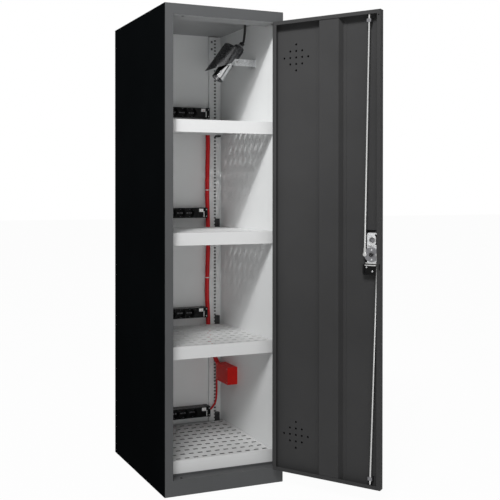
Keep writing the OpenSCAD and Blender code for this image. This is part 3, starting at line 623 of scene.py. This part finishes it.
def choose_faces(piece, wanted):
    """Selects, in edit mode, the faces whose centre, normal and number pass wanted."""
    bpy.ops.object.mode_set(mode="EDIT")
    bpy.ops.mesh.select_mode(type="FACE")
    bpy.ops.mesh.select_all(action="DESELECT")
    shape = bmesh.from_edit_mesh(piece.data)
    for index, face in enumerate(shape.faces):
        if wanted(face.calc_center_median(), face.normal, index):
            face.select_set(True)
    bmesh.update_edit_mesh(piece.data)


def choose_top(piece, above=-1.0, facing=0.9):
    """Selects, in edit mode, the faces that look up and lie above a height."""
    choose_faces(piece, lambda centre, normal, index: normal.z > facing and centre.z > above)


def inset(width, rise=0.0, single=False):
    """Insets the chosen faces by a width and raises them, or sinks them, by a rise."""
    bpy.ops.mesh.inset(thickness=width, depth=rise, use_individual=single)


def subdivide(cuts):
    """Cuts every edge of the active piece into equal parts."""
    bpy.ops.object.mode_set(mode="EDIT")
    bpy.ops.mesh.select_all(action="SELECT")
    bpy.ops.mesh.subdivide(number_cuts=cuts)
    end_edit()


def end_edit():
    """Leaves edit mode."""
    bpy.ops.object.mode_set(mode="OBJECT")


def use_modifier(piece, kind, **settings):
    """Adds one modifier to a piece and applies it."""
    select_only([piece])
    modifier = piece.modifiers.new(kind.lower(), kind)
    for name, value in settings.items():
        setattr(modifier, name, value)
    bpy.ops.object.modifier_apply(modifier=modifier.name)


def soften(piece, width, segments=2, angle=SHARP_ANGLE):
    """Rounds the edges of a piece that are sharper than an angle."""
    settings = {"width": width, "segments": segments, "angle_limit": angle}
    use_modifier(piece, "BEVEL", limit_method="ANGLE", **settings)


def cut(piece, cutter):
    """Takes the cutter's volume away from a piece."""
    use_modifier(piece, "BOOLEAN", operation="DIFFERENCE", solver="EXACT", object=cutter)
    bpy.data.objects.remove(cutter)


def join(pieces):
    """One object from several."""
    select_only(pieces)
    if len(pieces) > 1:
        bpy.ops.object.join()
    return bpy.context.object


def settle(piece):
    """Leaves the object at the origin, unturned and unscaled, with its place in its mesh."""
    select_only([piece])
    bpy.ops.object.transform_apply(location=True, rotation=True, scale=True)
    bpy.ops.object.shade_smooth_by_angle(angle=SHARP_ANGLE)
    return piece


def peg(radius, height, sides):
    """A round or many-sided peg that stands on its seat."""
    middle = (0, 0, height / 2)
    return begin("cylinder", vertices=sides, radius=radius, depth=height, location=middle)


def block(size, middle, turn=0.0):
    """A box of a given size about its middle."""
    return settle(begin("cube", size=1, location=middle, rotation=(0, 0, turn), scale=size))


def drill(piece, radius, height, middle, sides=24):
    """Cuts a round hole of a given height into a piece, about a middle on its axis."""
    sizes = {"vertices": sides, "radius": radius, "depth": height}
    cut(piece, begin("cylinder", location=(0, 0, middle), **sizes))


def fit(piece, name, finish_used, body):
    """Names a finished piece, gives it its finish and lets it ride on its body."""
    settle(piece)
    piece.name = name
    piece.data.name = name
    piece.data.materials.clear()
    piece.data.materials.append(finish_used)
    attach(piece, body)


def place_copies(model, places):
    """Copies of one model at every place, each with its own mesh, joined into one object."""
    copies = []
    for place in places:
        copy = model.copy()
        copy.data = model.data.copy()
        copy.data.transform(place)
        bpy.context.scene.collection.objects.link(copy)
        copies.append(copy)
    return join(copies)


def fit_copies(model, places, name, finish_used, body):
    """Fits copies of a model at every place as one piece, then takes the model away."""
    fit(place_copies(model, places), name, finish_used, body)
    bpy.data.objects.remove(model)


# ---- small fittings, each modelled once and standing on its seat ----


def model_pan_screw():
    """A pan-head screw with a cross recess."""
    head = peg(radius=0.0040, height=0.0014, sides=20)
    choose_top(head)
    inset(0.0009, rise=0.0005)
    inset(0.0009, rise=0.0002)
    end_edit()
    settle(head)
    for turn in (0.0, pi / 2):
        cut(head, block(size=(0.0009, 0.0042, 0.0014), middle=(0, 0, 0.0019), turn=turn))
    return settle(head)


def model_dome_rivet():
    """A closed dome rivet with the dimple that its mandrel leaves."""
    head = peg(radius=0.0034, height=0.0005, sides=16)
    choose_top(head)
    inset(0.0006, rise=0.0005)
    inset(0.0009, rise=0.0003)
    inset(0.0003, rise=-0.0004)
    end_edit()
    return settle(head)


def model_hex_nut(radius, height, bore):
    """A hexagon nut with chamfered corners and a blind bore."""
    nut = peg(radius, height, sides=6)
    soften(nut, 0.08 * radius)
    drill(nut, bore, 2 * height, 1.4 * height)
    return settle(nut)


def model_gland_cap(radius, height, bore):
    """The ribbed screw cap of a cable gland, with a blind bore."""
    cap = peg(0.96 * radius, height, sides=24)
    choose_faces(cap, lambda centre, normal, index: abs(normal.z) < 0.2 and index % 2 == 0)
    inset(0.03 * radius, rise=0.04 * radius, single=True)
    end_edit()
    drill(cap, bore, height, 0.9 * height)
    return settle(cap)


def model_retaining_clip():
    """A split washer that holds a rod's eye, round the head of its pin."""
    clip = peg(radius=0.0058, height=0.0007, sides=24)
    drill(clip, radius=0.0036, height=0.004, middle=0.0, sides=20)
    cut(clip, block(size=(0.006, 0.0042, 0.004), middle=(0.005, 0, 0)))
    pin = peg(radius=0.0029, height=0.0024, sides=20)
    choose_top(pin)
    inset(0.0007, rise=0.0004)
    end_edit()
    return settle(join([clip, pin]))


def model_coil_spring(radius, wire, turns, pitch, steps=16):
    """A spring that lies along +Z, swept by a screw and closed at its ends."""
    upright = (pi / 2, 0, 0)
    ring = begin("circle", vertices=8, radius=wire, location=(radius, 0, 0), rotation=upright)
    settle(ring)
    use_modifier(
        ring, "SCREW", angle=2 * pi * turns, screw_offset=pitch * turns,
        steps=steps * turns, render_steps=steps * turns,
    )
    bpy.ops.object.mode_set(mode="EDIT")
    bpy.ops.mesh.select_mode(type="VERT")
    bpy.ops.mesh.select_all(action="SELECT")
    bpy.ops.mesh.remove_doubles(threshold=0.00001)
    bpy.ops.mesh.select_all(action="DESELECT")
    bpy.ops.mesh.select_non_manifold()
    bpy.ops.mesh.fill_holes(sides=0)
    bpy.ops.mesh.select_all(action="SELECT")
    bpy.ops.mesh.normals_make_consistent(inside=False)
    end_edit()
    return settle(ring)


def model_bowed_strip(width, height, thick, bow):
    """A spring strip that stands on edge and bows away from its seat."""
    strip = block((width, height, thick), (0, 0, thick / 2))
    subdivide(7)
    for point in strip.data.vertices:
        share = 2 * point.co.x / width
        point.co.z += bow * (1 - share * share)
    return settle(strip)


def model_earth_clip():
    """The sprung earth contact at the wall of a socket: it stands along +Z and bows along -Y."""
    height, bow, taper = 0.012, 0.0016, 20.0
    clip = block((0.0048, 0.0009, height), (0, 0, height / 2))
    subdivide(3)
    for point in clip.data.vertices:
        point.co.y -= bow * sin(pi * point.co.z / height)
        point.co.x *= 1.0 - taper * point.co.z
    return settle(clip)


def model_pin_sleeve():
    """The plated sleeve at the mouth of a socket's pin hole."""
    sleeve = peg(radius=0.0031, height=0.0008, sides=16)
    choose_top(sleeve)
    inset(0.0009, rise=0.0001)
    inset(0.0002, rise=-0.0006)
    end_edit()
    return settle(sleeve)


def model_ring(radius, wall, height, sides=40):
    """A turned ring with a rounded outside, open along +Z and centred on its middle."""
    ring = begin("cylinder", vertices=sides, radius=radius, depth=height, location=(0, 0, 0))
    soften(ring, 0.28 * height, segments=3)
    drill(ring, radius - wall, 4 * height, 0.0, sides)
    return settle(ring)


def model_shelf_lock():
    """The moulded clip that hooks into an upright's slots above a shelf."""
    lock = block(size=(0.0125, 0.028, 0.009), middle=(0, 0, 0.0045))
    choose_top(lock)
    bpy.ops.transform.resize(value=(0.8, 0.75, 1.0))
    inset(0.0016)
    inset(0.0010, rise=-0.0022)
    end_edit()
    choose_faces(lock, lambda centre, normal, index: normal.y > 0.6)
    inset(0.0020)
    inset(0.0004, rise=0.0016)
    end_edit()
    soften(lock, 0.0005)
    return settle(lock)


# ---- fittings on the cabinet ----

SOCKET_COUNT = 5
SOCKET_PITCH = 0.0435
SOCKET_INSET = 0.067
SOCKET_FLOOR = 0.015
SOCKET_WALL = 0.0174
PIN_SPREAD = 0.0095
CAP_WIDTH = 0.016
CAP_SCREW_INSET = 0.0055
CAP_SCREW_EDGE = 0.007
STUD_INSET = 0.0145
STUD_DROP = 0.0125
RIVET_ROWS = 9
RIVET_COLUMNS = 4
RIVET_SIDE_EDGE = 0.012
RIVET_END_EDGE = 0.020
HOSE_JOINTS = (1.152, 0.757)
HOSE_REACH = 0.03
LOCK_ACROSS = 0.2045
LOCK_LIFT = 0.0150
GLAND_GAP = 0.001

# Radius, height and bore of each gland cap, and its place across and up the red box.
GLAND_CAPS = (
    (0.0128, 0.010, 0.0097, 0.023, 0.060),
    (0.0062, 0.008, 0.0042, 0.012, 0.038),
)


def strip_boxes():
    """The boxes of the four power strips, from the top one down."""
    return [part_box(f"power_strip_{row}") for row in (1, 2, 3, 4)]


def socket_floors():
    """The middle of the floor of every socket."""
    for low, high in strip_boxes():
        for column in range(SOCKET_COUNT):
            across = high.x - SOCKET_INSET - column * SOCKET_PITCH
            yield Vector((across, low.y + SOCKET_FLOOR, (low.z + high.z) / 2))


def fit_socket_contacts():
    """Two sprung earth contacts, two pin sleeves and a centre screw in each socket."""
    clips, sleeves, screws = [], [], []
    for floor in socket_floors():
        for side in (-1, 1):
            wall = Matrix.Translation(floor + side * SOCKET_WALL * UP)
            upside = Matrix.Rotation(0 if side > 0 else pi, 4, "Y")
            clips.append(wall @ upside @ Matrix.Rotation(pi / 2, 4, "X"))
            sleeves.append(seat(floor + side * PIN_SPREAD * RIGHT, FRONT))
        screws.append(seat(floor, FRONT, size=0.7))
    for model, places, name in (
        (model_earth_clip(), clips, "socket_earth_contacts"),
        (model_pin_sleeve(), sleeves, "socket_pin_sleeves"),
        (model_pan_screw(), screws, "socket_centre_screws"),
    ):
        fit_copies(model, places, name, DARK_STEEL, "cabinet")


def fit_strip_fittings():
    """Two screws in the end cap of each power strip, and the stud of its blank plate."""
    cap_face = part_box("strip_end_caps")[0].y
    plate_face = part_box("strip_plates")[0].y
    screws, studs = [], []
    for low, high in strip_boxes():
        across = high.x + CAP_WIDTH - CAP_SCREW_INSET
        for height in (low.z + CAP_SCREW_EDGE, high.z - CAP_SCREW_EDGE):
            screws.append(seat((across, cap_face, height), FRONT, size=0.65, turn=0.4))
        spot = (high.x - STUD_INSET, plate_face, high.z - STUD_DROP)
        studs.append(seat(spot, FRONT, size=0.38))
    screw, stud = model_pan_screw(), model_dome_rivet()
    fit_copies(screw, screws, "strip_cap_screws", ROD_STEEL, "cabinet")
    fit_copies(stud, studs, "strip_plate_studs", RED_PLASTIC, "cabinet")


def fit_panel_rivets():
    """Rivets round the edge of the rear panel."""
    low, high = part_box("back_panel")
    wide = high.x - low.x - 2 * RIVET_SIDE_EDGE
    tall = high.z - low.z - 2 * RIVET_END_EDGE
    places = []
    for row in range(RIVET_ROWS + 1):
        height = low.z + RIVET_END_EDGE + tall * row / RIVET_ROWS
        places += [(low.x + RIVET_SIDE_EDGE, height), (high.x - RIVET_SIDE_EDGE, height)]
    for column in range(1, RIVET_COLUMNS):
        across = low.x + RIVET_SIDE_EDGE + wide * column / RIVET_COLUMNS
        places += [(across, low.z + RIVET_END_EDGE), (across, high.z - RIVET_END_EDGE)]
    seats = [seat((x, high.y, z), BACK) for x, z in places]
    fit_copies(model_dome_rivet(), seats, "rear_panel_rivets", SHELL_PAINT, "cabinet")


def tube_middle(node, low, high):
    """The middle of the part of a tube between two heights."""
    points = [point.co for point in nodes[node].data.vertices if low <= point.co.z <= high]
    return sum(points, Vector()) / len(points)


def fit_hose_rings():
    """The bright rings where two lengths of the red hose meet."""
    places = []
    for height in HOSE_JOINTS:
        middle = tube_middle("red_hose", height - HOSE_REACH, height + HOSE_REACH)
        places.append(Matrix.Translation(middle))
    ring = model_ring(radius=0.0110, wall=0.0020, height=0.0040)
    fit_copies(ring, places, "hose_joint_rings", BRACKET_ZINC, "cabinet")


def fit_shelf_locks():
    """A clip on each upright above every shelf and the tray."""
    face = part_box("rear_uprights")[0].y
    places = []
    for name in ("top_shelf", "middle_shelf", "bottom_shelf", "floor_tray"):
        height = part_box(name)[1].z + LOCK_LIFT
        for side in (-1, 1):
            places.append(seat((side * LOCK_ACROSS, face, height), FRONT))
    fit_copies(model_shelf_lock(), places, "shelf_locks", GLOSS_PLASTIC, "cabinet")


def fit_box_glands():
    """The screw caps of the two glands behind the red box."""
    lid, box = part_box("junction_box_lid"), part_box("junction_box")
    caps = []
    for radius, height, bore, across, up in GLAND_CAPS:
        cap = model_gland_cap(radius, height, bore)
        place = Vector((lid[0].x + across, box[1].y + GLAND_GAP, box[0].z + up))
        caps.append(place_copies(cap, [seat(place, BACK)]))
        bpy.data.objects.remove(cap)
    fit(join(caps), "junction_box_gland_caps", RED_PLASTIC, "cabinet")


# ---- fittings on the detector ----

DETECTOR_TILT = radians(37)
DETECTOR_RADIUS = 0.025
RING_LIFT = 0.0008
GRIP_COUNT = 4
EAR_HEIGHT = 1.676
EAR_INSET = 0.016
EAR_PITCH = 0.008
EAR_HOLE_LIFT = 0.002

# Lengths along the barrel, from the window towards the tail.
FIRST_GRIP = 0.010
GRIP_PITCH = 0.004
REAR_GRIP = 0.070
TAIL_NUT = 0.1625
CABLE_CAP = 0.1735


def fit_detector_parts():
    """Grip rings on the barrel, and the nut and cable cap at its tail."""
    low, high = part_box("detector_front_ring")
    window = Matrix.Translation((low + high) / 2) @ Matrix.Rotation(DETECTOR_TILT - pi, 4, "Y")
    tail = window @ Matrix.Rotation(pi, 4, "X")
    lengths = [FIRST_GRIP + GRIP_PITCH * number for number in range(GRIP_COUNT)] + [REAR_GRIP]
    ring = model_ring(radius=DETECTOR_RADIUS + RING_LIFT, wall=0.0012, height=0.0018)
    rings = [window @ Matrix.Translation((0, 0, -length)) for length in lengths]
    fit_copies(ring, rings, "detector_grip_rings", CHROME, "cabinet")
    nut = model_hex_nut(radius=0.0142, height=0.009, bore=0.0108)
    place = tail @ Matrix.Translation((0, 0, TAIL_NUT))
    fit_copies(nut, [place], "detector_tail_nut", CHROME, "cabinet")
    cap = model_gland_cap(radius=0.0104, height=0.012, bore=0.0052)
    place = tail @ Matrix.Translation((0, 0, CABLE_CAP))
    fit_copies(cap, [place], "detector_cable_cap", BLACK_PLASTIC, "cabinet")


def fit_bracket_ear():
    """The bright ear of the bracket, with its row of small holes."""
    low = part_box("detector_bracket")[0]
    wide, thick, tall = 0.026, 0.0018, 0.027
    middle = Vector((low.x + EAR_INSET, low.y - thick / 2, EAR_HEIGHT))
    ear = block((wide, thick, tall), middle)
    soften(ear, 0.0005)
    for number in (-1, 0, 1):
        place = middle + Vector((EAR_PITCH * number, 0, EAR_HOLE_LIFT))
        sizes = {"vertices": 16, "radius": 0.0022, "depth": 0.01}
        cut(ear, settle(begin("cylinder", location=place, rotation=(pi / 2, 0, 0), **sizes)))
    fit(ear, "bracket_ear", BRACKET_ZINC, "cabinet")


# ---- fittings on the door ----

# Places across and up from the spindle.
LOCK_RIVETS = ((-0.016, 0.034), (0.011, 0.034), (-0.016, 0.073), (0.011, 0.073))
LOCK_STRIPS = ((0.0020, -0.0310, UPPER_STRIP_FACE), (0.0020, -0.0385, LOWER_STRIP_FACE))
LOCK_SPRING = (0.0125, 0.0320)
# The next two places hold black sheets of painted shade behind and beside the lock case.
LOCK_SHADE_BACK = (0.0015, 0.0255)
LOCK_SHADE_SIDE = (-0.0175, 0.0560)
BACKING_SCREWS = ((-0.004, -0.061), (0.018, -0.046))
LOWER_PLATE_SCREW = 0.064
UPPER_PLATE_SCREW = 0.021


def fit_lock_parts():
    """The rivets, sprung strips, coil spring and bore ring of the lock case."""
    rivets = [seat(by_spindle(*spot, CASE_FACE), BACK) for spot in LOCK_RIVETS]
    fit_copies(model_dome_rivet(), on_door(rivets), "lock_case_rivets", ROD_STEEL, "door")
    strip = model_bowed_strip(width=0.042, height=0.0036, thick=0.0010, bow=0.0018)
    strips = [seat(by_spindle(*spot), BACK) for spot in LOCK_STRIPS]
    fit_copies(strip, on_door(strips), "lock_spring_strips", ROD_STEEL, "door")
    spring = model_coil_spring(radius=0.0026, wire=0.00045, turns=14, pitch=0.0013)
    place = on_door([seat(by_spindle(*LOCK_SPRING, SPRING_FACE), LEFT)])
    fit_copies(spring, place, "lock_coil_spring", ROD_STEEL, "door")
    ring = model_ring(radius=0.0132, wall=0.0028, height=0.0016)
    place = on_door([seat((PLUG.x, BORE_RING_FACE, PLUG.z), BACK)])
    fit_copies(ring, place, "lock_bore_ring", ROD_STEEL, "door")


def fit_lock_shade_sheets():
    """Black sheets of painted shade behind and beside the lock case, and the screws of its backing.
    """
    pad = block(size=(0.054, 0.128, 0.0010), middle=(0, 0, 0.0005))
    soften(pad, 0.006, segments=4, angle=radians(60))
    choose_top(pad, above=0.0009)
    inset(0.0012, rise=0.0006)
    inset(0.0012)
    inset(0.0008, rise=-0.0006)
    end_edit()
    place = on_door([seat(by_spindle(*LOCK_SHADE_BACK, SHADE_SHEET_FACE), BACK)])
    fit_copies(pad, place, "lock_shade_back", GLOSS_PLASTIC, "door")
    side = block(size=(0.0085, 0.038, 0.0024), middle=(0, 0, 0.0012))
    soften(side, 0.0008)
    choose_top(side, above=0.0023, facing=0.99)
    inset(0.0018, rise=-0.0006)
    end_edit()
    place = on_door([seat(by_spindle(*LOCK_SHADE_SIDE, CASE_FACE), BACK)])
    fit_copies(side, place, "lock_shade_side", GLOSS_PLASTIC, "door")
    spots = [seat(by_spindle(*spot, BACKING_FACE), BACK, size=0.8) for spot in BACKING_SCREWS]
    screw = model_pan_screw()
    fit_copies(screw, on_door(spots), "lock_backing_screws", CHROME, "door")


def fit_crank_parts():
    """The end nut of the spindle, and the pins and clips of the rods' eyes."""
    nut = model_hex_nut(radius=0.0084, height=0.0034, bore=0.0040)
    place = on_door([seat(by_spindle(0, 0, NUT_FACE), BACK)])
    fit_copies(nut, place, "spindle_nut", BLACKED_STEEL, "handle")
    for body, side in (("upper_rod", 1), ("lower_rod", -1)):
        eye = by_spindle(side * CRANK_RADIUS, 0, EYE_FACE)
        place = on_door([seat(eye, BACK, size=0.9, turn=0.7 + side)])
        clip = model_retaining_clip()
        fit_copies(clip, place, f"{body}_pin", ROD_STEEL, body)


def fit_escutcheon_screws():
    """The two screws that hold the outside plate of the handle."""
    heights = (SPINDLE.z - LOWER_PLATE_SCREW, PLUG.z + UPPER_PLATE_SCREW)
    places = [seat((SPINDLE.x, ESCUTCHEON_FACE, height), FRONT, turn=0.3) for height in heights]
    screw = model_pan_screw()
    fit_copies(screw, on_door(places), "escutcheon_screws", ROD_STEEL, "door")


fit_socket_contacts()
fit_strip_fittings()
fit_panel_rivets()
fit_hose_rings()
fit_shelf_locks()
fit_box_glands()
fit_detector_parts()
fit_bracket_ear()
fit_lock_parts()
fit_lock_shade_sheets()
fit_crank_parts()
fit_escutcheon_screws()


# ---- sky, floor, lamps and view ----


def seen_directly(tree):
    """1 for rays from the view, from gloss and through glass, 0 for light on the cabinet."""
    path = add_node(tree, "LightPath").outputs
    direct = math(tree, "ADD", path["Is Camera Ray"], path["Is Glossy Ray"], clamp=True)
    return math(tree, "ADD", direct, path["Is Transmission Ray"], clamp=True)


def make_sky():
    """An even sky that is bright where it is seen and dim for what it lights."""
    sky, tree = new_shaded(bpy.data.worlds, "studio")
    strengths = (SKY_STRENGTH, BACKDROP_STRENGTH)
    strength = spread(tree, seen_directly(tree), (0.0, 1.0), strengths)
    light = add_node(tree, "Background", None, {"Color": WHITE_LIGHT, "Strength": strength})
    close_tree(tree, "OutputWorld", light)
    bpy.context.scene.world = sky


def make_floor():
    """A wide floor that takes the cabinet's shadow and glows where it is seen."""
    floor = begin("plane", size=FLOOR_SIZE, location=(0, 0, -FLOOR_DROP))
    floor.name = "studio_floor"
    made, tree = new_shaded(bpy.data.materials, "studio floor")
    matt = add_node(tree, "BsdfDiffuse", None, {"Color": FLOOR_GREY})
    glow = add_node(tree, "Emission", None, {"Color": WHITE_LIGHT, "Strength": 1.0})
    share = math(tree, "MULTIPLY", seen_directly(tree), FLOOR_GLOW)
    both = add_node(tree, "MixShader", None, {0: share, 1: matt.outputs[0], 2: glow.outputs[0]})
    close_tree(tree, "OutputMaterial", both)
    floor.data.materials.append(made)


def place_lamp(lamp, place, target):
    """Sets a lamp at its place, looking at its target."""
    placed = bpy.data.objects.new(lamp.name, lamp)
    placed.rotation_euler = (target - place).to_track_quat("-Z", "Y").to_euler()
    placed.location = place
    bpy.context.scene.collection.objects.link(placed)


def soft_lamp(name, irradiance, size, place, target):
    """A square lamp whose light has the given strength where it looks."""
    lamp = bpy.data.lights.new(name, "AREA")
    lamp.energy = pi * (target - place).length_squared * irradiance
    lamp.shape = "SQUARE"
    lamp.size = size
    place_lamp(lamp, place, target)


def make_lamps():
    """A round key lamp that throws the slots' streaks, a wide lamp behind it and a low fill."""
    key = bpy.data.lights.new("key", "SPOT")
    key.energy = 4 * pi * KEY_DISTANCE ** 2 * KEY_IRRADIANCE
    key.shadow_soft_size = KEY_RADIUS
    key.spot_size = KEY_CONE
    key.spot_blend = 1.0
    place_lamp(key, KEY_TARGET - KEY_DISTANCE * KEY_DIRECTION, KEY_TARGET)
    soft_place = KEY_TARGET - SOFT_DISTANCE * KEY_DIRECTION
    soft_lamp("wide", SOFT_IRRADIANCE, SOFT_SIZE, soft_place, KEY_TARGET)
    soft_lamp("fill", FILL_IRRADIANCE, FILL_SIZE, FILL_PLACE, FILL_TARGET)


def make_camera():
    """The view from the front left, at half the cabinet's height."""
    lens = bpy.data.cameras.new("view")
    lens.sensor_width = CAMERA_FILM
    lens.lens = CAMERA_LENS
    lens.shift_x, lens.shift_y = CAMERA_SHIFT
    lens.clip_end = CAMERA_REACH
    camera = bpy.data.objects.new("view", lens)
    camera.location = CAMERA_PLACE
    camera.rotation_euler = CAMERA_TURN
    bpy.context.scene.collection.objects.link(camera)
    bpy.context.scene.camera = camera


make_sky()
make_floor()
make_lamps()
make_camera()
bpy.context.scene.view_settings.view_transform = "Standard"
